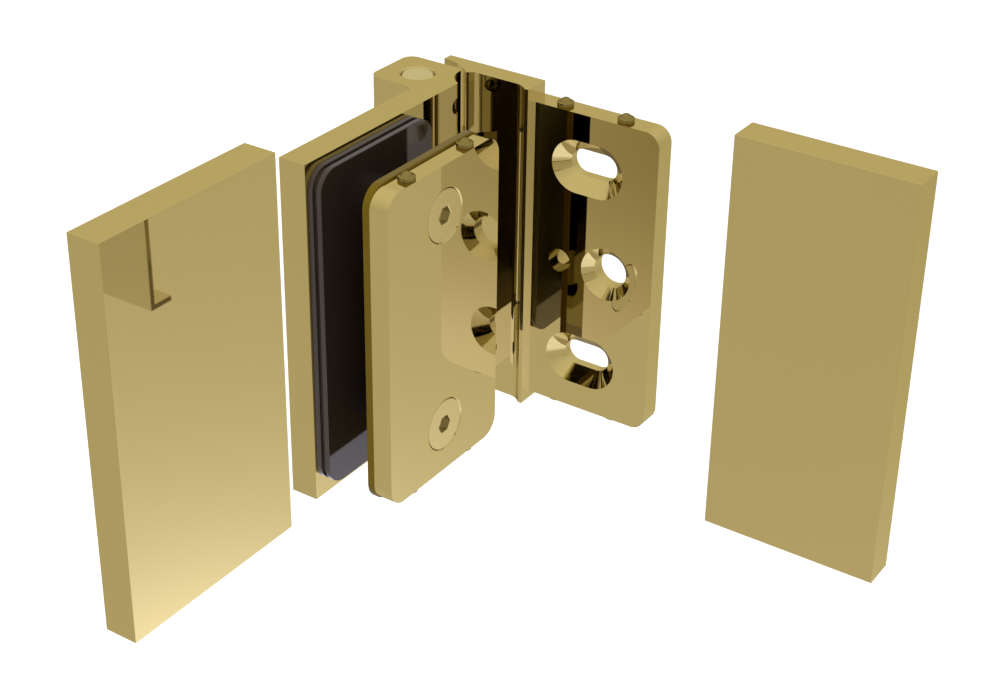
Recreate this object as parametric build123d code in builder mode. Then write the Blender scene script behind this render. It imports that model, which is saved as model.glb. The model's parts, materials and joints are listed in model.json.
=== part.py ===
from build123d import *
import os
from math import sqrt

# A glass-to-wall shower door hinge with its two slip-on covers taken off.
# Frame, in millimetres: X points out of the wall, Y runs along the wall away from the hinge pin, Z is up.
# The origin lies on the wall, on the axis of the middle fixing hole. The door is closed.

# Overall heights
height = 90.0                    # door leaf, wall bracket and covers
cover_wall = 1.5
cover_end_gap = 2.0              # between a plate's end and the inside of its cover, filled by the studs
plate_height = height - 2 * (cover_wall + cover_end_gap)

# Wall side
wall_plate_thickness = 6.0
lip_rise = 1.8                   # how far the lip stands out of the plate, to lie level with the cover
lip_width = 1.1
lip_run = 3.8                    # how far before the lip the plate starts to curve up to it
hole_to_lip_end = 23.0
hole_to_plate_end = 13.4
wall_plate_corner = 4.0
fixing_hole = 9.2
slot_width = 7.0
fixing_countersink = 14.2
countersink_angle = 90.0
slot_offset = 6.5                # from the middle hole back to the middle of the slots
slot_from_end = 17.8             # from the bracket's end to the middle of a slot
slot_travel = 6.1
lip_hole = 6.4                   # the plain hole between the middle hole and the lip
lip_hole_offset = 13.6
lip_hole_depth = 5.4
bracket_beyond_pin = 0.3         # the bracket's back end, past the pin's axis
sweep_radius = 11.9              # the hollow in which the knuckle turns
nose_reach = 7.4                 # the nose's distance from the wall
nose_flank = 1.8
lip_crest = 0.3
nose_rounding = 0.35

# Hinge line
pin_to_wall = 14.7
hole_to_pin = 51.4
pin_diameter = 8.4
pin_recess = 0.3                 # below the knuckle's end faces
pin_chamfer = 0.4
pin_running_gap = 0.04           # radial, in the two bushes
pin_fixed_gap = 0.02             # radial, in the leaf's knuckles
bore_chamfer = 0.4
bush_wall = 1.1
bush_length = 18.0
bush_fit = 0.02                  # radial, in the lug
lug_height = 50.0
lug_radius = 7.4
washer_thickness = 1.0
washer_diameter = 14.0
washer_play = 0.05
lug_clearance = 0.6              # between the lug and the door leaf that swings round it

# Door leaf
pin_to_glass_face = 12.0         # from the pin's axis to the face that takes the gasket
leaf_thickness = 7.4
leaf_reach = 74.0                # the leaf's free end, from the wall
knuckle_hinge_side = 8.75        # from the pin's axis towards the wall
knuckle_door_side = 8.35
knuckle_back = 9.0
knuckle_corner = 3.0
knuckle_turning_radius = 10.9
knuckle_inner_corner = 2.5
pocket_start = 7.6               # the hollow that leaves room for the nose, from the pin's axis
pocket_end = 0.4
pocket_depth = 3.0
pocket_middle = 3.1
grub_from_end = 6.0
grub_diameter = 4.0
grub_length = 4.0
grub_socket = 2.0                # across flats
grub_socket_depth = 1.6
thread_gap = 0.05                # radial, between a screw and its tapped hole

# Glass clamp
glass_thickness = 10.0
gasket_overhang = 0.6            # how much taller both gaskets are than the clamp plate, at each end
gasket_corner = 5.5
leaf_gasket_thickness = 3.8
leaf_gasket_width = 42.8
leaf_gasket_lift = 1.35          # it sits this much above the middle of the leaf
leaf_gasket_inset = 0.7          # from the leaf's free end
groove_width = 1.1
groove_depth = 1.0
clamp_gasket_thickness = 2.0
clamp_gasket_width = 44.3
clamp_plate_thickness = 5.1
clamp_plate_width = 44.1
clamp_plate_inset = 2.8          # from the leaf's free end
clamp_plate_corner = 5.0
clamp_screw_from_end = 16.5      # from the leaf's end to the screw's axis
screw_diameter = 6.0
screw_length = 25.0
screw_head = 13.2
screw_head_rim = 0.25
screw_head_recess = 0.1
screw_seat_gap = 0.05
screw_socket = 4.0               # across flats
screw_socket_depth = 2.3
screw_hole_gap = 0.3             # radial, in the clamp plate
sleeve_wall = 1.8
sleeve_gap = 0.2                 # radial, round the screw
gasket_hole_gap = 0.3            # radial, round the screw
tapped_depth = 6.0

# Covers and the studs that they clip over
wall_cover_width = 38.7
door_cover_width = 49.0
door_cover_depth = 8.0
wall_stud_spacing = 17.25
wall_stud_offset = 6.4           # from the middle hole back to the middle of the stud pair
door_stud_spacing = 22.9
stud_collar = 4.2
stud_collar_height = 0.8
stud_dome = 2.8
stud_crown = 1.4
stud_shank = 3.0
stud_shank_length = 5.0
stud_fit = 0.02                  # radial, in the plate's edge
door_cover_slide = 85.7          # how far each cover is taken off, from its seat
door_cover_shift = 1.0
door_cover_lift = 22.8
wall_cover_out = 61.5
wall_cover_slide = 86.5
wall_cover_lift = 32.3

# Places that follow from the sizes
half = height / 2
plate_half = plate_height / 2
pin_x = pin_to_wall
pin_y = -hole_to_pin
lip_end = -hole_to_lip_end
glass_face = pin_y + pin_to_glass_face
leaf_back = glass_face - leaf_thickness
glass_start = glass_face + leaf_gasket_thickness
glass_end = glass_start + glass_thickness
clamp_back = glass_end + clamp_gasket_thickness
clamp_front = clamp_back + clamp_plate_thickness
clamp_x = leaf_reach - clamp_plate_inset - clamp_plate_width / 2
bore_radius = pin_diameter / 2 + pin_fixed_gap
bush_inner = pin_diameter / 2 + pin_running_gap
bush_outer = bush_inner + bush_wall
knuckle_gap = lug_height + 2 * (washer_thickness + washer_play)
screw_countersink = screw_head + 2 * (screw_head_rim + screw_head_recess + screw_seat_gap)
screw_levels = (half - clamp_screw_from_end, clamp_screw_from_end - half)

os.makedirs("parts", exist_ok=True)


def facing_y(y, z=0.0):
    """A plane at the given distance along Y: its own x is X, its own y is Z, and it looks towards -Y."""
    return Plane(origin=(0, y, z), x_dir=(1, 0, 0), z_dir=(0, -1, 0))


def save(piece, name):
    """Labels a finished piece and writes it as one file."""
    piece.part.label = name
    export_step(piece.part, f"parts/{name}.step")


# Wall bracket: one profile at full height, with the wall plate and the lug for the pin
nose_x = nose_reach
nose_y = pin_y + sqrt(sweep_radius**2 - (pin_x - nose_x) ** 2)
bracket_back = pin_y - bracket_beyond_pin
hollow_x = pin_x - sqrt(sweep_radius**2 - bracket_beyond_pin**2)
lip_x = wall_plate_thickness + lip_rise
lip_start = lip_end - lip_width
with BuildPart() as wall_bracket:
    with BuildSketch() as bracket_profile:
        with BuildLine():
            Line((0, lip_end), (0, bracket_back))
            Line((0, bracket_back), (hollow_x, bracket_back))
            RadiusArc((hollow_x, bracket_back), (nose_x, nose_y), sweep_radius)
            Polyline(
                (nose_x, nose_y),
                (wall_plate_thickness, nose_y + nose_flank),
                (wall_plate_thickness, lip_start - lip_run),
            )
            TangentArc(
                (wall_plate_thickness, lip_start - lip_run),
                (lip_x, lip_start),
                tangent=(0, 1),
            )
            Polyline((lip_x, lip_start), (lip_x, lip_end), (0, lip_end))
        make_face()
        crest = bracket_profile.vertices().sort_by_distance((lip_x, lip_start))[0]
        fillet(crest, radius=lip_crest)
        nose = bracket_profile.vertices().sort_by_distance((nose_x, nose_y))[0]
        fillet(nose, radius=nose_rounding)
    extrude(amount=half, both=True)

    plate_width = hole_to_plate_end + hole_to_lip_end + lip_width
    with BuildSketch(Plane.YZ):
        with Locations((hole_to_plate_end - plate_width / 2, 0)):
            Rectangle(plate_width, plate_height)
    extrude(amount=wall_plate_thickness)
    outer_corners = wall_bracket.edges().filter_by(Axis.X).group_by(Axis.Y)[-1]
    fillet(outer_corners, radius=wall_plate_corner)

    with BuildSketch() as lug_profile:
        with Locations((pin_x, pin_y)):
            Circle(lug_radius)
        with Locations((0, bracket_back)):
            Rectangle(hollow_x, nose_y - bracket_back, align=(Align.MIN, Align.MIN))
        make_hull()
    extrude(amount=lug_height / 2, both=True)
    with Locations((pin_x, pin_y, lug_height / 2)):
        Hole(radius=bush_outer + bush_fit, depth=lug_height)

    front = Plane(origin=(wall_plate_thickness, 0, 0), x_dir=(0, 1, 0), z_dir=(1, 0, 0))
    with Locations(front):
        CounterSinkHole(
            radius=fixing_hole / 2,
            counter_sink_radius=fixing_countersink / 2,
            counter_sink_angle=countersink_angle,
        )
    slots = [(-slot_offset, half - slot_from_end), (-slot_offset, slot_from_end - half)]
    with BuildSketch(front):
        with Locations(*slots):
            SlotCenterToCenter(slot_travel, slot_width)
    extrude(amount=-wall_plate_thickness, mode=Mode.SUBTRACT)
    inward = Plane(origin=(wall_plate_thickness, 0, 0), x_dir=(0, 1, 0), z_dir=(-1, 0, 0))
    with BuildSketch(inward):
        with Locations(*slots):
            SlotCenterToCenter(slot_travel, fixing_countersink)
    extrude(amount=(fixing_countersink - slot_width) / 2, taper=countersink_angle / 2, mode=Mode.SUBTRACT)
    with BuildSketch(front):
        with Locations((-lip_hole_offset, 0)):
            Circle(lip_hole / 2)
    extrude(amount=-lip_hole_depth, mode=Mode.SUBTRACT)

    wall_stud_places = [
        (wall_plate_thickness / 2, -wall_stud_offset - wall_stud_spacing / 2),
        (wall_plate_thickness / 2, -wall_stud_offset + wall_stud_spacing / 2),
    ]
    for side in (1, -1):
        with BuildSketch(Plane.XY.offset(side * plate_half)):
            with Locations(*wall_stud_places):
                Circle(stud_shank / 2 + stud_fit)
        extrude(amount=-side * (stud_shank_length + stud_fit), mode=Mode.SUBTRACT)
save(wall_bracket, "wall_bracket")


# Door leaf: a flat plate with an upper and a lower knuckle behind its hinge end
turn_x = pin_x - knuckle_hinge_side
turn_y = pin_y + sqrt(knuckle_turning_radius**2 - knuckle_hinge_side**2)
pocket_x = pin_x - pocket_start
pocket_y = pin_y + sqrt(knuckle_turning_radius**2 - pocket_start**2)
with BuildPart() as door_leaf:
    with BuildSketch() as leaf_profile:
        with BuildLine():
            Polyline(
                (pin_x - pocket_end, glass_face),
                (leaf_reach, glass_face),
                (leaf_reach, leaf_back),
                (pin_x + knuckle_door_side, leaf_back),
                (pin_x + knuckle_door_side, pin_y - knuckle_back),
                (turn_x, pin_y - knuckle_back),
                (turn_x, turn_y),
            )
            RadiusArc((turn_x, turn_y), (pocket_x, pocket_y), knuckle_turning_radius)
            ThreePointArc(
                (pocket_x, pocket_y),
                (pin_x - pocket_middle, glass_face - pocket_depth),
                (pin_x - pocket_end, glass_face),
            )
        make_face()
        back_corners = leaf_profile.vertices().group_by(Axis.Y)[0]
        fillet(back_corners, radius=knuckle_corner)
        inner = leaf_profile.vertices().sort_by_distance((pin_x + knuckle_door_side, leaf_back))[0]
        fillet(inner, radius=knuckle_inner_corner)
    extrude(amount=half, both=True)

    gap_edge = pin_x + knuckle_door_side + knuckle_inner_corner
    with BuildSketch():
        with Locations((0, leaf_back)):
            Rectangle(gap_edge, 2 * knuckle_back, align=(Align.MIN, Align.MAX))
        with Locations((0, leaf_back)):
            Rectangle(pin_x + lug_clearance, 2 * leaf_thickness, align=(Align.MIN, Align.MIN))
        with Locations((pin_x, pin_y)):
            Circle(lug_radius + lug_clearance)
    extrude(amount=knuckle_gap / 2, both=True, mode=Mode.SUBTRACT)

    with Locations((pin_x, pin_y, half)):
        Hole(radius=bore_radius, depth=height)
    mouths = door_leaf.edges().filter_by(GeomType.CIRCLE)
    mouths = mouths.filter_by(lambda edge: abs(edge.radius - bore_radius) < 1e-6)
    ends = mouths.group_by(Axis.Z)
    chamfer(ends[0] + ends[-1], length=bore_chamfer)

    for side in (1, -1):
        with BuildSketch(facing_y(glass_face, side * (half - grub_from_end))):
            with Locations((pin_x, 0)):
                Circle(grub_diameter / 2 + thread_gap)
        extrude(amount=pin_to_glass_face, mode=Mode.SUBTRACT)
    for level in screw_levels:
        with BuildSketch(facing_y(glass_face, level)):
            with Locations((clamp_x, 0)):
                Circle(screw_diameter / 2 + thread_gap)
        extrude(amount=tapped_depth, mode=Mode.SUBTRACT)
save(door_leaf, "door_leaf")


# Hinge pin, held in the leaf's knuckles and turning in the lug's bushes
with BuildPart() as hinge_pin:
    with Locations((pin_x, pin_y, 0)):
        Cylinder(pin_diameter / 2, height - 2 * pin_recess)
    chamfer(hinge_pin.edges().filter_by(GeomType.CIRCLE), length=pin_chamfer)
save(hinge_pin, "hinge_pin")


# Bushes in the lug, washers between the lug and the knuckles, grub screws that lock the pin
for side, level in ((1, "upper"), (-1, "lower")):
    with BuildPart() as bush:
        with BuildSketch(Plane.XY.offset(side * lug_height / 2)):
            with Locations((pin_x, pin_y)):
                Circle(bush_outer)
                Circle(bush_inner, mode=Mode.SUBTRACT)
        extrude(amount=-side * bush_length)
    save(bush, f"{level}_pin_bush")

    with BuildPart() as washer:
        with BuildSketch(Plane.XY.offset(side * (lug_height / 2 + washer_play))):
            with Locations((pin_x, pin_y)):
                Circle(washer_diameter / 2)
                Circle(bush_inner, mode=Mode.SUBTRACT)
        extrude(amount=side * washer_thickness)
    save(washer, f"{level}_thrust_washer")

    tip = pin_y + pin_diameter / 2 + pin_fixed_gap
    with BuildPart() as grub_screw:
        with BuildSketch(facing_y(tip + grub_length, side * (half - grub_from_end))):
            with Locations((pin_x, 0)):
                Circle(grub_diameter / 2)
        extrude(amount=grub_length)
        with BuildSketch(facing_y(tip + grub_length, side * (half - grub_from_end))):
            with Locations((pin_x, 0)):
                RegularPolygon(grub_socket / 2, 6, major_radius=False)
        extrude(amount=grub_socket_depth, mode=Mode.SUBTRACT)
    save(grub_screw, f"{level}_pin_grub_screw")


# Gaskets: a thick one on the leaf, with a groove round its edge, and a thin one under the clamp plate
leaf_gasket_x = leaf_reach - leaf_gasket_inset - leaf_gasket_width / 2
gasket_height = plate_height + 2 * gasket_overhang
screw_places = [(clamp_x, level) for level in screw_levels]
with BuildPart() as leaf_gasket:
    with BuildSketch(facing_y(glass_start)):
        with Locations((leaf_gasket_x, leaf_gasket_lift)):
            RectangleRounded(leaf_gasket_width, gasket_height, gasket_corner)
        with Locations(*screw_places):
            Circle(screw_diameter / 2 + gasket_hole_gap, mode=Mode.SUBTRACT)
    extrude(amount=leaf_gasket_thickness)
    with BuildSketch(facing_y(glass_start - (leaf_gasket_thickness - groove_width) / 2)):
        with Locations((leaf_gasket_x, leaf_gasket_lift)):
            RectangleRounded(leaf_gasket_width, gasket_height, gasket_corner)
            RectangleRounded(
                leaf_gasket_width - 2 * groove_depth,
                gasket_height - 2 * groove_depth,
                gasket_corner - groove_depth,
                mode=Mode.SUBTRACT,
            )
    extrude(amount=groove_width, mode=Mode.SUBTRACT)
save(leaf_gasket, "leaf_gasket")

with BuildPart() as clamp_gasket:
    with BuildSketch(facing_y(clamp_back)):
        with Locations((clamp_x, 0)):
            RectangleRounded(clamp_gasket_width, gasket_height, gasket_corner)
        with Locations(*screw_places):
            Circle(screw_diameter / 2 + gasket_hole_gap, mode=Mode.SUBTRACT)
    extrude(amount=clamp_gasket_thickness)
save(clamp_gasket, "clamp_gasket")


# Clamp plate with two countersunk holes and four blind holes for the studs
door_stud_places = [
    (clamp_x + door_stud_spacing / 2, clamp_front - clamp_plate_thickness / 2),
    (clamp_x - door_stud_spacing / 2, clamp_front - clamp_plate_thickness / 2),
]
with BuildPart() as clamp_plate:
    with BuildSketch(facing_y(clamp_front)):
        with Locations((clamp_x, 0)):
            RectangleRounded(clamp_plate_width, plate_height, clamp_plate_corner)
    extrude(amount=clamp_plate_thickness)
    for level in screw_levels:
        with Locations(Plane(origin=(clamp_x, clamp_front, level), x_dir=(1, 0, 0), z_dir=(0, 1, 0))):
            CounterSinkHole(
                radius=screw_diameter / 2 + screw_hole_gap,
                counter_sink_radius=screw_countersink / 2,
                counter_sink_angle=countersink_angle,
            )
    for side in (1, -1):
        with BuildSketch(Plane.XY.offset(side * plate_half)):
            with Locations(*door_stud_places):
                Circle(stud_shank / 2 + stud_fit)
        extrude(amount=-side * (stud_shank_length + stud_fit), mode=Mode.SUBTRACT)
save(clamp_plate, "clamp_plate")


# Clamp screws with their sleeves through the glass
for level, name in zip(screw_levels, ("upper", "lower")):
    top = clamp_front - screw_head_recess
    cone = (screw_head - screw_diameter) / 2
    along = Plane(origin=(clamp_x, top, level), x_dir=(1, 0, 0), z_dir=(0, 0, 1))
    with BuildPart() as clamp_screw:
        with BuildSketch(along):
            with BuildLine():
                Polyline(
                    (0, 0),
                    (screw_head / 2, 0),
                    (screw_head / 2, -screw_head_rim),
                    (screw_diameter / 2, -screw_head_rim - cone),
                    (screw_diameter / 2, -screw_length),
                    (0, -screw_length),
                    close=True,
                )
            make_face()
        revolve(axis=Axis((clamp_x, top, level), (0, 1, 0)))
        with BuildSketch(facing_y(top, level)):
            with Locations((clamp_x, 0)):
                RegularPolygon(screw_socket / 2, 6, major_radius=False, rotation=30)
        extrude(amount=screw_socket_depth, mode=Mode.SUBTRACT)
    save(clamp_screw, f"{name}_clamp_screw")

    with BuildPart() as glass_sleeve:
        with BuildSketch(facing_y(glass_end, level)):
            with Locations((clamp_x, 0)):
                Circle(screw_diameter / 2 + sleeve_gap + sleeve_wall)
                Circle(screw_diameter / 2 + sleeve_gap, mode=Mode.SUBTRACT)
        extrude(amount=glass_thickness)
    save(glass_sleeve, f"{name}_glass_sleeve")


# Studs pressed into the plates' top and bottom edges, with a collar and a tapered dome
stud_sites = [(f"{end}_wall_stud", place) for end, place in zip(("inner", "outer"), wall_stud_places)]
stud_sites += [(f"{end}_door_stud", place) for end, place in zip(("outer", "inner"), door_stud_places)]
for side, level in ((1, "top"), (-1, "bottom")):
    for name, (x, y) in stud_sites:
        with BuildPart(Plane(origin=(x, y, side * plate_half), x_dir=(1, 0, 0), z_dir=(0, 0, side))) as stud:
            Cylinder(stud_shank / 2, stud_shank_length, align=(Align.CENTER, Align.CENTER, Align.MAX))
            Cylinder(stud_collar / 2, stud_collar_height, align=(Align.CENTER, Align.CENTER, Align.MIN))
            with Locations((0, 0, stud_collar_height)):
                Cone(
                    stud_dome / 2,
                    stud_crown / 2,
                    cover_end_gap - stud_collar_height,
                    align=(Align.CENTER, Align.CENTER, Align.MIN),
                )
        save(stud, f"{level}_{name}")


# Covers: thin folded boxes, open at the back and towards the hinge, shown where they were taken off to
with BuildPart() as wall_cover:
    with Locations((wall_cover_out, lip_end + wall_cover_slide, wall_cover_lift)):
        Box(
            wall_plate_thickness + cover_wall,
            wall_cover_width,
            height,
            align=(Align.MIN, Align.MIN, Align.CENTER),
        )
    back = wall_cover.faces().sort_by(Axis.X)[0]
    hinge_side = wall_cover.faces().sort_by(Axis.Y)[0]
    offset(amount=-cover_wall, openings=[back, hinge_side])
save(wall_cover, "wall_cover")

cover_start = leaf_reach - door_cover_width
cover_back = clamp_front + cover_wall - door_cover_depth
with BuildPart() as door_cover:
    with Locations((cover_start + door_cover_slide, cover_back + door_cover_shift, door_cover_lift)):
        Box(
            door_cover_width,
            door_cover_depth,
            height,
            align=(Align.MIN, Align.MIN, Align.CENTER),
        )
    back = door_cover.faces().sort_by(Axis.Y)[0]
    hinge_side = door_cover.faces().sort_by(Axis.X)[0]
    offset(amount=-cover_wall, openings=[back, hinge_side])
save(door_cover, "door_cover")
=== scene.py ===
# %% [markdown]
# # A glass-to-wall shower door hinge, dressed for its portrait
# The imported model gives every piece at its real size. This script puts finer studs, screws, gaskets and
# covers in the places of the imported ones, keeps the other pieces as they are, gives each surface its
# finish, and lights the whole.
# Blender counts in metres. The sizes of small pieces are written in millimetres and go through MM.
# X points out of the wall, Y runs along the wall, Z is up.

# %% Load the fixed frame
import json
from math import acos, atan2, cos, pi, radians, sin

import bmesh
import bpy
from mathutils import Matrix, Vector

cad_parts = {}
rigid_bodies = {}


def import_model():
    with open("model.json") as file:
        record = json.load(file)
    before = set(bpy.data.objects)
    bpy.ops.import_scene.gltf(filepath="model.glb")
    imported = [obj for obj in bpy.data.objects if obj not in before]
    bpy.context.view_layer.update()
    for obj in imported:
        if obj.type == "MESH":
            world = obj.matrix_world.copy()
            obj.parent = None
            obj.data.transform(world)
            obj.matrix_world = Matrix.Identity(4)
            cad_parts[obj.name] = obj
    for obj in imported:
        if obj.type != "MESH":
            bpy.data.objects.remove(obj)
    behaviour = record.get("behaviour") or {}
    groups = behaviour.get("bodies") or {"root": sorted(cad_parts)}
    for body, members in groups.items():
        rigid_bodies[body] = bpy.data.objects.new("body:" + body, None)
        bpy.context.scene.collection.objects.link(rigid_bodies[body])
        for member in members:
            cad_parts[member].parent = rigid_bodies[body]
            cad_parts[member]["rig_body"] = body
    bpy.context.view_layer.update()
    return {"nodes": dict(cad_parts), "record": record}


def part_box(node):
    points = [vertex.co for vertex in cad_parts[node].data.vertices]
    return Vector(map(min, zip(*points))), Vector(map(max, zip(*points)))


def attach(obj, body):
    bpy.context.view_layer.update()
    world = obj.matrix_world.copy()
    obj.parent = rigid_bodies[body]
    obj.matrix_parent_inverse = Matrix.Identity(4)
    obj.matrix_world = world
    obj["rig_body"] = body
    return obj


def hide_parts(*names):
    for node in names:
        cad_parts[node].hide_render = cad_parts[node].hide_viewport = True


MM = 0.001
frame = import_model()
nodes = frame["nodes"]
slot_of = {row["node"]: row["material_slot"] for row in frame["record"]["subparts"]}
bpy.context.scene.view_settings.view_transform = "Standard"
print("nodes in the frame:", len(nodes))

# %% [markdown]
# ## The camera
# The photograph is taken from above and from the open side of the door, with a long lens. Its straight
# edges run along three square directions, and their lines give the lens and the turn. With the hinge's
# height they give the place too.
# The picture was cropped off its optical axis, which is what the lens shift stands for.

# %% Set the camera
CAMERA_PLACE = (0.37534, 0.21273, 0.22506)
CAMERA_TURN = (62.128, -1.269, 123.074)
LENS = 69.03
SENSOR_WIDTH = 36.0
SHIFT = (-0.0315, -0.0765)
NEAREST_SEEN = 0.01

camera_data = bpy.data.cameras.new("camera")
camera_data.lens = LENS
camera_data.sensor_width = SENSOR_WIDTH
camera_data.shift_x, camera_data.shift_y = SHIFT
camera_data.clip_start = NEAREST_SEEN
camera = bpy.data.objects.new("camera", camera_data)
camera.location = CAMERA_PLACE
camera.rotation_euler = [radians(angle) for angle in CAMERA_TURN]
bpy.context.scene.collection.objects.link(camera)
bpy.context.scene.camera = camera
view = camera.rotation_euler.to_matrix() @ Vector((0, 0, -1))
print("camera looks along", tuple(round(value, 3) for value in view))

# %% [markdown]
# ## A few node helpers
# A material is a small graph of nodes. These helpers make a node, set its sockets by name and join it to
# others, so that each graph below reads as a list of what feeds what. A place is where a node lies in the
# editor's window, and changes nothing in the picture.

# %% Helpers for node graphs


def set_inputs(made, inputs):
    """Sets a node's inputs by name, where an underscore stands for a space."""
    for name, value in inputs.items():
        made.inputs[name.replace("_", " ")].default_value = value


def node(tree, kind, place, **inputs):
    """A new node of that kind, with the named inputs set."""
    made = tree.nodes.new(kind)
    made.location = place
    set_inputs(made, inputs)
    return made


def wire(tree, source, output, target, name):
    """Joins an output to an input, both by name or number."""
    tree.links.new(source.outputs[output], target.inputs[name])


def calculate(tree, operation, place, *sources):
    """A Math node whose inputs are numbers or the values of other nodes."""
    made = node(tree, "ShaderNodeMath", place)
    made.operation = operation
    for number, source in enumerate(sources):
        if isinstance(source, float):
            made.inputs[number].default_value = source
        else:
            wire(tree, source, "Value", made, number)
    return made


def sort_by_ray(tree, to_other_light, to_metal, to_camera, output_kind):
    """Ends a graph that shows one shader to the metal, one to the camera and one to all other light."""
    rays = node(tree, "ShaderNodeLightPath", (200, 400))
    shown = to_other_light
    for ray, shader, across in (("Is Glossy Ray", to_metal, 400), ("Is Camera Ray", to_camera, 600)):
        mixed = node(tree, "ShaderNodeMixShader", (across, 0))
        wire(tree, rays, ray, mixed, 0)
        wire(tree, shown, 0, mixed, 1)
        wire(tree, shader, 0, mixed, 2)
        shown = mixed
    surface = node(tree, output_kind, (800, 0))
    wire(tree, shown, 0, surface, "Surface")


# %% [markdown]
# ## The studio floor
# Polished metal shows the room more than itself, so the room is designed as carefully as the object.
# The camera sees plain white. The metal sees a calm grey room with two pools of light on the floor, which
# brighten the lower half of each face that looks that way. Flat faces hardly show the two darker patches of
# floor. Curved faces and mirror images of mirror images do, and get their deep tones from them.
# To the camera the floor is part glow and part matt paint: together they come out white, and where the
# object takes light away, the matt part goes grey, so that the floor keeps the shadow.

# %% Floor sheet
FLOOR_LEVEL = -0.25
FLOOR_SIZE = 12.0

floor_mesh = bpy.data.meshes.new("floor")
bm = bmesh.new()
bmesh.ops.create_grid(bm, x_segments=1, y_segments=1, size=FLOOR_SIZE / 2)
bmesh.ops.translate(bm, verts=bm.verts, vec=(0, 0, FLOOR_LEVEL))
bm.to_mesh(floor_mesh)
bm.free()
floor = bpy.data.objects.new("floor", floor_mesh)
bpy.context.scene.collection.objects.link(floor)
print("floor at", FLOOR_LEVEL, "m")

# %% Helpers for pools of light and dark patches
POOL_COLOUR = (0.97, 1.07, 1.85, 1)


def distance_from(tree, row, centre):
    """How far a point of the floor lies from a centre."""
    place = node(tree, "ShaderNodeTexCoord", (-1400, row))
    reach = node(tree, "ShaderNodeVectorMath", (-1200, row))
    reach.operation = "DISTANCE"
    reach.inputs[1].default_value = centre
    wire(tree, place, "Object", reach, 0)
    return reach


def lay_patch(tree, row, under, centre, inner, outer, colour):
    """Lays a dark patch with a soft edge over what is there."""
    fade = node(tree, "ShaderNodeMapRange", (-600, row), From_Min=outer, From_Max=inner)
    wire(tree, distance_from(tree, row, centre), "Value", fade, "Value")
    dark = node(tree, "ShaderNodeEmission", (-200, row), Color=colour)
    over = node(tree, "ShaderNodeMixShader", (0, row))
    wire(tree, fade, "Result", over, 0)
    wire(tree, under, 0, over, 1)
    wire(tree, dark, 0, over, 2)
    return over


def add_pool(tree, row, under, centre, radius, strength, falloff):
    """Adds light that is strongest at its centre and fades without an edge."""
    share = calculate(tree, "DIVIDE", (-1000, row), distance_from(tree, row, centre), radius)
    steep = calculate(tree, "POWER", (-800, row), share, falloff)
    fade = calculate(tree, "ADD", (-600, row), steep, 1.0)
    brightness = calculate(tree, "DIVIDE", (-400, row), strength, fade)
    glow = node(tree, "ShaderNodeEmission", (-200, row), Color=POOL_COLOUR)
    wire(tree, brightness, "Value", glow, "Strength")
    over = node(tree, "ShaderNodeAddShader", (0, row))
    wire(tree, under, 0, over, 0)
    wire(tree, glow, 0, over, 1)
    return over


# %% Floor material
POOLS = (
    {"centre": (-0.03, 0.13, FLOOR_LEVEL), "radius": 0.088, "strength": 1.25, "falloff": 2.0},
    {"centre": (0.23, 0.23, FLOOR_LEVEL), "radius": 0.13, "strength": 0.46, "falloff": 4.0},
)
PATCHES = (
    {"centre": (0.62, 0.18, FLOOR_LEVEL), "inner": 0.08, "outer": 0.24, "colour": (0.42, 0.40, 0.33, 1)},
    {"centre": (-0.27, -0.27, FLOOR_LEVEL), "inner": 0.12, "outer": 0.34, "colour": (0.14, 0.11, 0.05, 1)},
)
ROOM_GREY = (0.6, 0.6, 0.6, 1)
FLOOR_COLOUR = (0.86, 0.86, 0.86, 1)
WHITE = (1, 1, 1, 1)
CAMERA_GLOW = 0.42
ROW_STEP = 200

floor_material = bpy.data.materials.new("floor")
floor_material.use_nodes = True
floor_tree = floor_material.node_tree
floor_tree.nodes.clear()
seen_by_metal = node(floor_tree, "ShaderNodeEmission", (-200, 0), Color=ROOM_GREY)
row = 0
for patch in PATCHES:
    row -= ROW_STEP
    seen_by_metal = lay_patch(floor_tree, row, seen_by_metal, **patch)
for pool in POOLS:
    row -= ROW_STEP
    seen_by_metal = add_pool(floor_tree, row, seen_by_metal, **pool)
matt = node(floor_tree, "ShaderNodeBsdfDiffuse", (-200, 400), Color=FLOOR_COLOUR)
glow = node(floor_tree, "ShaderNodeEmission", (-200, 200), Color=WHITE, Strength=CAMERA_GLOW)
seen_by_camera = node(floor_tree, "ShaderNodeAddShader", (0, 200))
wire(floor_tree, matt, 0, seen_by_camera, 0)
wire(floor_tree, glow, 0, seen_by_camera, 1)
sort_by_ray(floor_tree, matt, seen_by_metal, seen_by_camera, "ShaderNodeOutputMaterial")
floor_mesh.materials.append(floor_material)
print("the floor has", len(POOLS), "pools of light and", len(PATCHES), "dark patches")

# %% [markdown]
# ## The rest of the room
# The world stands for walls and ceiling. It could be one even colour, but a real room gets lighter towards
# its lamps, and polished gold shows that on every face. So the grey that the metal sees rises slowly with
# the height of the view. The camera again sees white, and all other light gets an even strength of its own.

# %% World: white to the camera, a grey room to the metal
WORLD_LIGHT = 0.75
SKY_LOW = 0.6
SKY_HIGH = 0.82
HIGH_UP = 0.8

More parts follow.
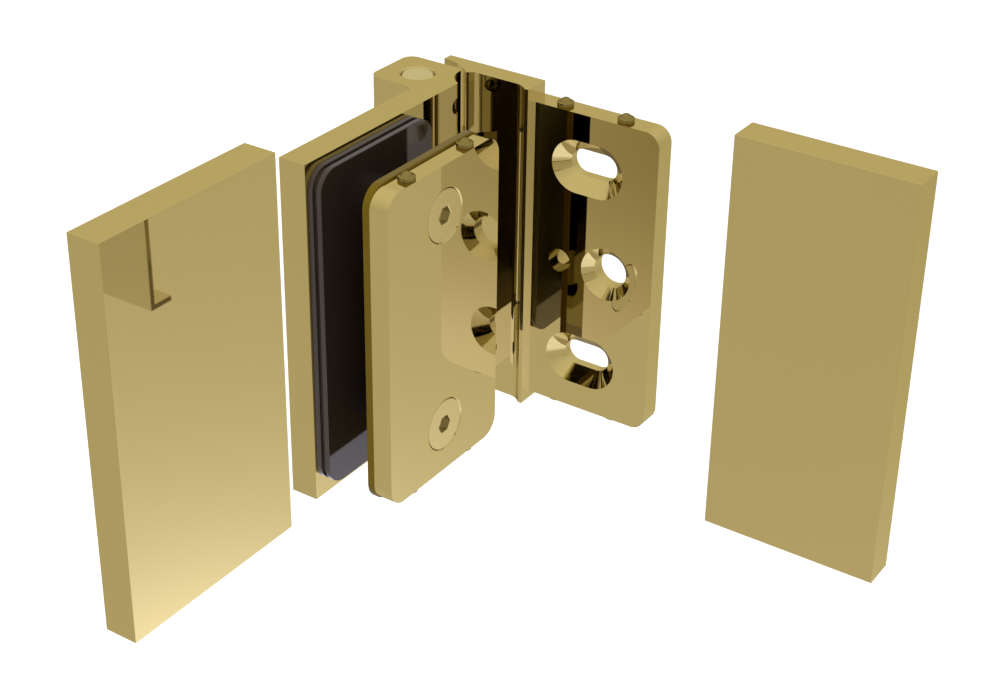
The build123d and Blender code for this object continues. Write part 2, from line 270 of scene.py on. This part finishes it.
world = bpy.data.worlds.new("studio")
bpy.context.scene.world = world
world.use_nodes = True
world_tree = world.node_tree
world_tree.nodes.clear()
direction = node(world_tree, "ShaderNodeTexCoord", (-800, 0))
split = node(world_tree, "ShaderNodeSeparateXYZ", (-600, 0))
wire(world_tree, direction, "Generated", split, 0)
lift = node(world_tree, "ShaderNodeMapRange", (-400, 0), From_Max=HIGH_UP, To_Min=SKY_LOW, To_Max=SKY_HIGH)
wire(world_tree, split, "Z", lift, "Value")
seen_by_metal = node(world_tree, "ShaderNodeBackground", (-200, 0), Color=WHITE)
wire(world_tree, lift, "Result", seen_by_metal, "Strength")
light = node(world_tree, "ShaderNodeBackground", (-200, 200), Color=WHITE, Strength=WORLD_LIGHT)
seen_by_camera = node(world_tree, "ShaderNodeBackground", (-200, -200), Color=WHITE, Strength=1.0)
sort_by_ray(world_tree, light, seen_by_metal, seen_by_camera, "ShaderNodeOutputWorld")
print("the room is", SKY_LOW, "grey at the horizon and", SKY_HIGH, "high up")

# %% [markdown]
# ## One soft lamp
# Rubber and nylon need light of their own, because they mirror little of the room. A wide round lamp,
# high up on the camera's side, gives soft shadows. The gold would show it as a hard white disc, so it is
# left out of all mirror images.

# %% Key lamp
KEY_PLACE = (0.5, 0.35, 0.75)
KEY_SIZE = 0.6
KEY_POWER = 6.0

key_data = bpy.data.lights.new("key", "AREA")
key_data.shape = "DISK"
key_data.size = KEY_SIZE
key_data.energy = KEY_POWER
key = bpy.data.objects.new("key", key_data)
key.location = KEY_PLACE
key.rotation_euler = (-Vector(KEY_PLACE)).to_track_quat("-Z", "Y").to_euler()
key.visible_glossy = False
bpy.context.scene.collection.objects.link(key)
print("key lamp at", KEY_PLACE)

# %% [markdown]
# ## Shared effects
# Plated brass is never a perfect mirror. Polishing leaves a faint waviness, like orange peel, and the
# roughness drifts from place to place. Moulded rubber and nylon have a fine grain instead, and their colour
# is a little cloudy. Painted pictures could give both, but noise has no seams and stays sharp close up.
# Each effect is one node group with named sockets, and each finish below uses it at its own strength.

# %% Helpers for the groups


def add_sockets(group, way, kind, *names):
    """Gives a group some inputs or outputs of one kind."""
    for name in names:
        group.interface.new_socket(name=name, in_out=way, socket_type=kind)


def relief(group, start, height, detail, roughness):
    """A Bump node on noise, whose scale and depth come from the group's sockets."""
    noise = node(group, "ShaderNodeTexNoise", (-500, -200), Detail=detail, Roughness=roughness)
    wire(group, start, "Vector", noise, "Vector")
    wire(group, start, "Scale", noise, "Scale")
    bump = node(group, "ShaderNodeBump", (200, -200), Distance=height)
    wire(group, start, "Depth", bump, "Strength")
    wire(group, noise, "Fac", bump, "Height")
    return bump


# %% Group: polished surface
WAVE_HEIGHT = 0.1 * MM


def polished_surface_group():
    """Waves of polishing as a normal, and a roughness that drifts between two values."""
    group = bpy.data.node_groups.new("polished_surface", "ShaderNodeTree")
    add_sockets(group, "INPUT", "NodeSocketFloat", "Scale", "Depth", "Smooth", "Rough")
    add_sockets(group, "INPUT", "NodeSocketVector", "Vector")
    add_sockets(group, "OUTPUT", "NodeSocketFloat", "Roughness")
    add_sockets(group, "OUTPUT", "NodeSocketVector", "Normal")
    start = node(group, "NodeGroupInput", (-800, 0))
    end = node(group, "NodeGroupOutput", (500, 0))
    waves = relief(group, start, WAVE_HEIGHT, detail=1.0, roughness=0.4)
    haze = node(group, "ShaderNodeTexNoise", (-500, 150), Scale=35.0, Detail=4.0, Roughness=0.6)
    wire(group, start, "Vector", haze, "Vector")
    drift = node(group, "ShaderNodeMapRange", (0, 150), From_Min=0.35, From_Max=0.7)
    wire(group, haze, "Fac", drift, "Value")
    wire(group, start, "Smooth", drift, "To Min")
    wire(group, start, "Rough", drift, "To Max")
    wire(group, drift, "Result", end, "Roughness")
    wire(group, waves, "Normal", end, "Normal")
    return group


polished_surface = polished_surface_group()

# %% Group: moulded grain
GRAIN_HEIGHT = 0.05 * MM


def moulded_grain_group():
    """A fine grain as a normal, and a cloudy shade between 0 and 1."""
    group = bpy.data.node_groups.new("moulded_grain", "ShaderNodeTree")
    add_sockets(group, "INPUT", "NodeSocketFloat", "Scale", "Depth")
    add_sockets(group, "INPUT", "NodeSocketVector", "Vector")
    add_sockets(group, "OUTPUT", "NodeSocketFloat", "Shade")
    add_sockets(group, "OUTPUT", "NodeSocketVector", "Normal")
    start = node(group, "NodeGroupInput", (-800, 0))
    end = node(group, "NodeGroupOutput", (500, 0))
    grain = relief(group, start, GRAIN_HEIGHT, detail=3.0, roughness=0.6)
    cloud = node(group, "ShaderNodeTexNoise", (-500, 150), Scale=60.0, Detail=3.0)
    wire(group, start, "Vector", cloud, "Vector")
    wire(group, cloud, "Fac", end, "Shade")
    wire(group, grain, "Normal", end, "Normal")
    return group


moulded_grain = moulded_grain_group()
print("node groups:", [group.name for group in bpy.data.node_groups])

# %% Helpers for all finishes
ONE_BOUNCE_AND_A_HALF = 1.5
finishes = {}


def new_finish(name, group, **inputs):
    """A material whose Principled shader gets its normal from one of the groups."""
    finishes[name] = bpy.data.materials.new(name)
    finishes[name].use_nodes = True
    tree = finishes[name].node_tree
    shader = tree.nodes["Principled BSDF"]
    place = node(tree, "ShaderNodeTexCoord", (-900, -200))
    surface = node(tree, "ShaderNodeGroup", (-700, -200))
    surface.node_tree = group
    set_inputs(surface, inputs)
    wire(tree, place, "Object", surface, "Vector")
    wire(tree, surface, "Normal", shader, "Normal")
    return tree, shader, surface


def drifting_tone(tree, shader, first, second, source, output):
    """A base colour that wanders between two tones as a noise does."""
    tone = node(tree, "ShaderNodeMix", (-400, 200))
    tone.data_type = "RGBA"
    tone.inputs["A"].default_value = (*first, 1)
    tone.inputs["B"].default_value = (*second, 1)
    wire(tree, source, output, tone, "Factor")
    wire(tree, tone, "Result", shader, "Base Color")


def retone_in_mirrors(name, tone, twice=False):
    """Gives a finish another base colour in mirror images, or only in images within images."""
    tree = finishes[name].node_tree
    base = tree.nodes["Principled BSDF"].inputs["Base Color"]
    mixed = node(tree, "ShaderNodeMix", (-200, 200 if twice else 400))
    mixed.data_type = "RGBA"
    mixed.inputs["B"].default_value = (*tone, 1)
    tree.links.new(base.links[0].from_socket, mixed.inputs["A"])
    rays = node(tree, "ShaderNodeLightPath", (-700, 500))
    if twice:
        bounces = node(tree, "ShaderNodeMath", (-400, 500))
        bounces.operation = "GREATER_THAN"
        bounces.inputs[1].default_value = ONE_BOUNCE_AND_A_HALF
        wire(tree, rays, "Glossy Depth", bounces, 0)
        wire(tree, bounces, "Value", mixed, "Factor")
    else:
        wire(tree, rays, "Is Glossy Ray", mixed, "Factor")
    tree.links.new(mixed.outputs["Result"], base)


# %% [markdown]
# ## Gold plating
# The big pieces are brass, polished to a mirror and plated. A metal's colour is the colour of its
# reflection, so the gold is written as the share of red, green and blue that it gives back. A weak noise
# moves that colour a little, as plating varies in thickness. In a glancing view a plain metal goes white,
# so the shader's Specular Tint gets the tone that keeps the edges gold. Gold seen in gold would be deep
# orange, but the real hinge shows it paler, so a first mirror image gets a tone of its own. A mirror image
# within another is deeper and more olive.

# %% Helper for plated metals
WAVE_SCALE = 90.0
DEEP_TONE = (0.42, 0.38, 0.22)
WHITE_AT_EDGE = 0.46
TAKEN_BACK = 0.30


def edge_tone(tone):
    """The tint at which a metal keeps about its own colour in a glancing view.

    Where the tint counts in full, an untinted metal has gone WHITE_AT_EDGE of the way to white.
    """
    return tuple(1 - TAKEN_BACK * (1 - share) / (share + WHITE_AT_EDGE * (1 - share)) for share in tone)


def plated(name, bright, dull, in_a_mirror, wave_depth, smooth, rough):
    """A plated metal whose colour and roughness drift a little, with a tone of its own in mirror images."""
    waves = {"Scale": WAVE_SCALE, "Depth": wave_depth, "Smooth": smooth, "Rough": rough}
    tree, shader, surface = new_finish(name, polished_surface, **waves)
    set_inputs(shader, {"Metallic": 1.0, "Specular Tint": (*edge_tone(bright), 1)})
    wire(tree, surface, "Roughness", shader, "Roughness")
    place = node(tree, "ShaderNodeTexCoord", (-900, 200))
    cloud = node(tree, "ShaderNodeTexNoise", (-700, 200), Scale=22.0, Detail=3.0)
    wire(tree, place, "Object", cloud, "Vector")
    drifting_tone(tree, shader, bright, dull, cloud, "Fac")
    retone_in_mirrors(name, in_a_mirror)
    retone_in_mirrors(name, DEEP_TONE, twice=True)


# %% Gold, from mirror polish to satin
GOLD_IN_A_MIRROR = (0.79, 0.75, 0.68)

plated(
    "polished_gold",
    bright=(0.67, 0.522, 0.188),
    dull=(0.65, 0.504, 0.180),
    in_a_mirror=GOLD_IN_A_MIRROR,
    wave_depth=0.03,
    smooth=0.015,
    rough=0.035,
)
plated(
    "pin_gold",
    bright=(0.80, 0.68, 0.32),
    dull=(0.77, 0.65, 0.30),
    in_a_mirror=GOLD_IN_A_MIRROR,
    wave_depth=0.05,
    smooth=0.06,
    rough=0.10,
)
plated(
    "screw_gold",
    bright=(0.84, 0.675, 0.272),
    dull=(0.82, 0.66, 0.262),
    in_a_mirror=GOLD_IN_A_MIRROR,
    wave_depth=0.05,
    smooth=0.42,
    rough=0.48,
)
print("finishes:", list(finishes))

# %% [markdown]
# ## Duller metals
# The studs are turned from brass and are rougher than the plates. Their darker tone is painted shade: it
# stands in for the shade on their sides. The grub screws in the knuckles are grey steel. Both are metals
# like the gold, so they use the same recipe, and their mirror images are darker too.

# %% Stud brass and grub screw steel
# Painted shade: the stud tones are darker than the plates' to stand for the shade on the studs' sides.
plated(
    "stud_gold",
    bright=(0.32, 0.24, 0.07),
    dull=(0.29, 0.22, 0.062),
    in_a_mirror=(0.26, 0.20, 0.06),
    wave_depth=0.10,
    smooth=0.20,
    rough=0.28,
)
plated(
    "grub_steel",
    bright=(0.30, 0.30, 0.31),
    dull=(0.24, 0.24, 0.25),
    in_a_mirror=(0.25, 0.25, 0.25),
    wave_depth=0.10,
    smooth=0.25,
    rough=0.38,
)
print("finishes:", list(finishes))

# %% [markdown]
# ## Rubber, vinyl and nylon
# The thick gasket on the leaf is a dark moulded rubber, smooth enough to mirror the room in a glancing
# view. The thin one under the clamp plate is an olive vinyl. Bushes and washers are pale nylon, and the
# sleeves that keep the screws off the glass are dark. The strength of a plastic's gloss follows from its
# index of refraction. In the photograph that gloss looks warm, so the two gaskets have an index and a
# tint of their own. In the metal's mirror images the rubber lies in shade, yet it gets a lighter tone there:
# that lighter tone is painted light.

# %% Helper for moulded pieces
GRAIN_SCALE = 2500.0
USUAL_INDEX = 1.5


def moulded(name, light, dark, roughness, grain_depth, index=USUAL_INDEX, glint=(1, 1, 1)):
    """A moulded plastic or rubber whose tone drifts a little, with its own strength and tone of gloss."""
    tree, shader, surface = new_finish(name, moulded_grain, Scale=GRAIN_SCALE, Depth=grain_depth)
    set_inputs(shader, {"Roughness": roughness, "IOR": index, "Specular Tint": (*glint, 1)})
    drifting_tone(tree, shader, light, dark, surface, "Shade")


# %% Gasket rubber, vinyl and nylon
moulded(
    "gasket_rubber",
    light=(0.022, 0.015, 0.011),
    dark=(0.015, 0.011, 0.008),
    roughness=0.06,
    grain_depth=0.02,
    index=1.72,
    glint=(1, 0.84, 0.68),
)
# Painted light: in the metal's mirror images the shaded rubber gets a lighter base colour.
retone_in_mirrors("gasket_rubber", (0.10, 0.09, 0.055))
moulded(
    "clamp_gasket_vinyl",
    light=(0.14, 0.092, 0.007),
    dark=(0.115, 0.074, 0.005),
    roughness=0.20,
    grain_depth=0.03,
    index=1.25,
    glint=(0.85, 0.66, 0.04),
)
moulded(
    "bearing_nylon",
    light=(0.80, 0.79, 0.75),
    dark=(0.74, 0.73, 0.69),
    roughness=0.42,
    grain_depth=0.15,
)
moulded(
    "sleeve_nylon",
    light=(0.05, 0.046, 0.042),
    dark=(0.04, 0.037, 0.034),
    roughness=0.38,
    grain_depth=0.15,
)
print("finishes:", list(finishes))

# %% [markdown]
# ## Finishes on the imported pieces
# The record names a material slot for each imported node, and every finish above has the name of its slot.
# So a loop is enough to dress them all.

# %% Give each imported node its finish
for name, piece in nodes.items():
    piece.data.materials.clear()
    piece.data.materials.append(finishes[slot_of[name]])
print("finished nodes:", len(slot_of))

# %% [markdown]
# ## Turned pieces
# Studs and screws come off a lathe, and a lathe works from an outline. So each is made by spinning an
# outline round its own axis, standing on the origin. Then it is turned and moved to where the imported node
# lies, and that node is hidden: it stays in the physics, and the finer piece stands for it.

# %% Helpers for finer pieces
TURNED_STEPS = 48
MERGED_WITHIN = 0.001 * MM
SMOOTH_UP_TO = radians(32)


def spin_outline(outline):
    """A bmesh spun round Z from (radius, height) points in millimetres."""
    bm = bmesh.new()
    corners = [bm.verts.new((radius * MM, 0, height * MM)) for radius, height in outline]
    edges = [bm.edges.new(pair) for pair in zip(corners, corners[1:])]
    outline_parts = corners + edges
    bmesh.ops.spin(bm, geom=outline_parts, axis=(0, 0, 1), angle=2 * pi, steps=TURNED_STEPS, use_merge=True)
    bmesh.ops.remove_doubles(bm, verts=bm.verts, dist=MERGED_WITHIN)
    return bm


def stand_for(node_name, bm, placing):
    """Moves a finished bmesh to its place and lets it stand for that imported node."""
    bmesh.ops.transform(bm, matrix=placing, verts=bm.verts)
    bmesh.ops.recalc_face_normals(bm, faces=bm.faces)
    mesh = bpy.data.meshes.new(node_name + "_fine")
    bm.to_mesh(mesh)
    bm.free()
    mesh.shade_smooth()
    mesh.set_sharp_from_angle(angle=SMOOTH_UP_TO)
    mesh.materials.append(finishes[slot_of[node_name]])
    piece = bpy.data.objects.new(node_name + "_fine", mesh)
    bpy.context.scene.collection.objects.link(piece)
    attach(piece, nodes[node_name]["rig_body"])
    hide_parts(node_name)
    return piece


# %% [markdown]
# ## Studs
# Eight studs stand in the ends of the two plates, and the covers clip over them. Each has a straight
# collar, a sloping shoulder and a domed top that lets the cover slide on. A dome is part of a sphere, so
# its radius follows from its width and height, and a few steps of an angle give its points. The studs at
# the bottom ends hang head down, so they are turned over.

# %% Studs with domed tops
SHANK_WIDTH = 3.0
COLLAR_WIDTH = 4.2
COLLAR_HEIGHT = 0.9
COLLAR_EASED = 0.06
DOME_WIDTH = 2.8
DOME_START = 1.1
DOME_STEPS = 8
STUD_HEIGHT = 2.0


def dome_points():
    """The outline of the dome, from its edge to its top."""
    dome_height = STUD_HEIGHT - DOME_START
    radius = ((DOME_WIDTH / 2) ** 2 + dome_height**2) / (2 * dome_height)
    centre = STUD_HEIGHT - radius
    widest = acos((DOME_START - centre) / radius)
    angles = [widest * (1 - step / DOME_STEPS) for step in range(DOME_STEPS + 1)]
    return [(radius * sin(angle), centre + radius * cos(angle)) for angle in angles]


def stud_outline(shank_length):
    """The half section of a stud, from the foot of its shank to the top of its dome."""
    return [
        (0, -shank_length),
        (SHANK_WIDTH / 2, -shank_length),
        (SHANK_WIDTH / 2, 0),
        (COLLAR_WIDTH / 2 - COLLAR_EASED, 0),
        (COLLAR_WIDTH / 2, COLLAR_EASED),
        (COLLAR_WIDTH / 2, COLLAR_HEIGHT - COLLAR_EASED),
        (COLLAR_WIDTH / 2 - COLLAR_EASED, COLLAR_HEIGHT),
        *dome_points(),
    ]


stud_nodes = sorted(name for name in nodes if name.endswith("_stud"))
for name in stud_nodes:
    low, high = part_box(name)
    axis_x, axis_y = (low.x + high.x) / 2, (low.y + high.y) / 2
    shank_length = (high.z - low.z) / MM - STUD_HEIGHT
    if high.z > 0:
        placing = Matrix.Translation((axis_x, axis_y, high.z - STUD_HEIGHT * MM))
    else:
        placing = Matrix.Translation((axis_x, axis_y, low.z + STUD_HEIGHT * MM)) @ Matrix.Rotation(pi, 4, "X")
    stand_for(name, spin_outline(stud_outline(shank_length)), placing)
print("studs:", len(stud_nodes))

# %% [markdown]
# ## Clamp screws
# Two countersunk screws with hexagon sockets pull the clamp plate onto the glass. The outline gives the
# head, the shank and the thread. The thread's turns are drawn as rings: it sits deep inside, where a real
# helix would look the same. The spun shape is left open at the top. Its round rim is extruded inwards,
# and each new point is slid along its own radius onto a hexagon. Two more extrusions make the chamfered
# mouth and the socket's walls, and its floor is poked down into the shallow cone that a drill leaves.

# %% Screws with thread and socket
HEAD_WIDTH = 13.2
HEAD_RIM = 0.25
HEAD_EASED = 0.05
SCREW_WIDTH = 6.0
THREAD_ROOT = 4.9
THREAD_PITCH = 1.0
THREAD_LENGTH = 15.0
SOCKET_ACROSS_FLATS = 4.2
SOCKET_CHAMFER = 0.12
SOCKET_DEPTH = 2.3
SOCKET_CONE = 0.5
SIXTH_TURN = pi / 3


def screw_outline(length):
    """The half section of a countersunk screw, from the rim of its head to its tip."""
    under_head = -HEAD_RIM - (HEAD_WIDTH - SCREW_WIDTH) / 2
    outline = [
        (HEAD_WIDTH / 2 - HEAD_EASED, 0),
        (HEAD_WIDTH / 2, -HEAD_EASED),
        (HEAD_WIDTH / 2, -HEAD_RIM),
        (SCREW_WIDTH / 2, under_head),
        (SCREW_WIDTH / 2, THREAD_LENGTH - length),
    ]
    for turn in range(int(THREAD_LENGTH / THREAD_PITCH)):
        top = THREAD_LENGTH - length - turn * THREAD_PITCH
        outline.append((THREAD_ROOT / 2, top - THREAD_PITCH / 2))
        outline.append((SCREW_WIDTH / 2, top - THREAD_PITCH))
    outline[-1] = (THREAD_ROOT / 2, -length)
    outline.append((0, -length))
    return outline


def push_to_hexagon(bm, loop, across_flats, depth):
    """Extrudes an open loop of edges, shapes its far end into a hexagon and gives the new loop."""
    pushed = bmesh.ops.extrude_edge_only(bm, edges=loop)["geom"]
    for corner in (part for part in pushed if isinstance(part, bmesh.types.BMVert)):
        angle = atan2(corner.co.y, corner.co.x)
        from_flat = angle % SIXTH_TURN - SIXTH_TURN / 2
        radius = across_flats / 2 / cos(from_flat)
        corner.co = Vector((radius * cos(angle), radius * sin(angle), -depth)) * MM
    return [part for part in pushed if isinstance(part, bmesh.types.BMEdge)]


def screw_with_socket(length):
    """A countersunk screw whose head has a hexagon socket."""
    bm = spin_outline(screw_outline(length))
    rim = [edge for edge in bm.edges if edge.is_boundary]
    mouth = push_to_hexagon(bm, rim, SOCKET_ACROSS_FLATS + 2 * SOCKET_CHAMFER, 0)
    throat = push_to_hexagon(bm, mouth, SOCKET_ACROSS_FLATS, SOCKET_CHAMFER)
    floor_loop = push_to_hexagon(bm, throat, SOCKET_ACROSS_FLATS, SOCKET_DEPTH)
    socket_floor = bmesh.ops.contextual_create(bm, geom=floor_loop)["faces"]
    bmesh.ops.poke(bm, faces=socket_floor, offset=-SOCKET_CONE * MM)
    return bm


for name in ("upper_clamp_screw", "lower_clamp_screw"):
    low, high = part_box(name)
    screw_length = (high.y - low.y) / MM
    head_centre = ((low.x + high.x) / 2, high.y, (low.z + high.z) / 2)
    placing = Matrix.Translation(head_centre) @ Matrix.Rotation(-pi / 2, 4, "X")
    piece = stand_for(name, screw_with_socket(screw_length), placing)
    print(piece.name, "faces:", len(piece.data.polygons), "length:", round(screw_length, 1), "mm")

# %% [markdown]
# ## Softened edges
# A moulded or polished edge is never quite sharp: it catches a thin line of light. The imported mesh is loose
# triangles, so a copy is merged first, and its flat faces are made whole again. A Bevel modifier then rounds
# each real edge, by more on a gasket than on a cover, and its hardened normals keep the flats flat.

# %% Helper for softened copies
FLAT_WITHIN = radians(0.5)


def soften(node_name, width, segments):
    """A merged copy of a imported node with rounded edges, which stands for that node."""
    bm = bmesh.new()
    bm.from_mesh(nodes[node_name].data)
    bmesh.ops.remove_doubles(bm, verts=bm.verts, dist=MERGED_WITHIN)
    bmesh.ops.dissolve_limit(bm, angle_limit=FLAT_WITHIN, verts=bm.verts, edges=bm.edges)
    piece = stand_for(node_name, bm, Matrix.Identity(4))
    rounding = piece.modifiers.new("rounded_edges", "BEVEL")
    rounding.width = width * MM
    rounding.segments = segments
    rounding.limit_method = "ANGLE"
    rounding.angle_limit = SMOOTH_UP_TO
    rounding.harden_normals = True
    return piece


# %% Gaskets and covers with softened edges
GASKET_EDGE = {"width": 0.25, "segments": 3}
COVER_EDGE = {"width": 0.12, "segments": 2}

edges_of = {
    "leaf_gasket": GASKET_EDGE,
    "clamp_gasket": GASKET_EDGE,
    "wall_cover": COVER_EDGE,
    "door_cover": COVER_EDGE,
}
for name, edge in edges_of.items():
    piece = soften(name, **edge)
    print(piece.name, "faces before rounding:", len(piece.data.polygons))
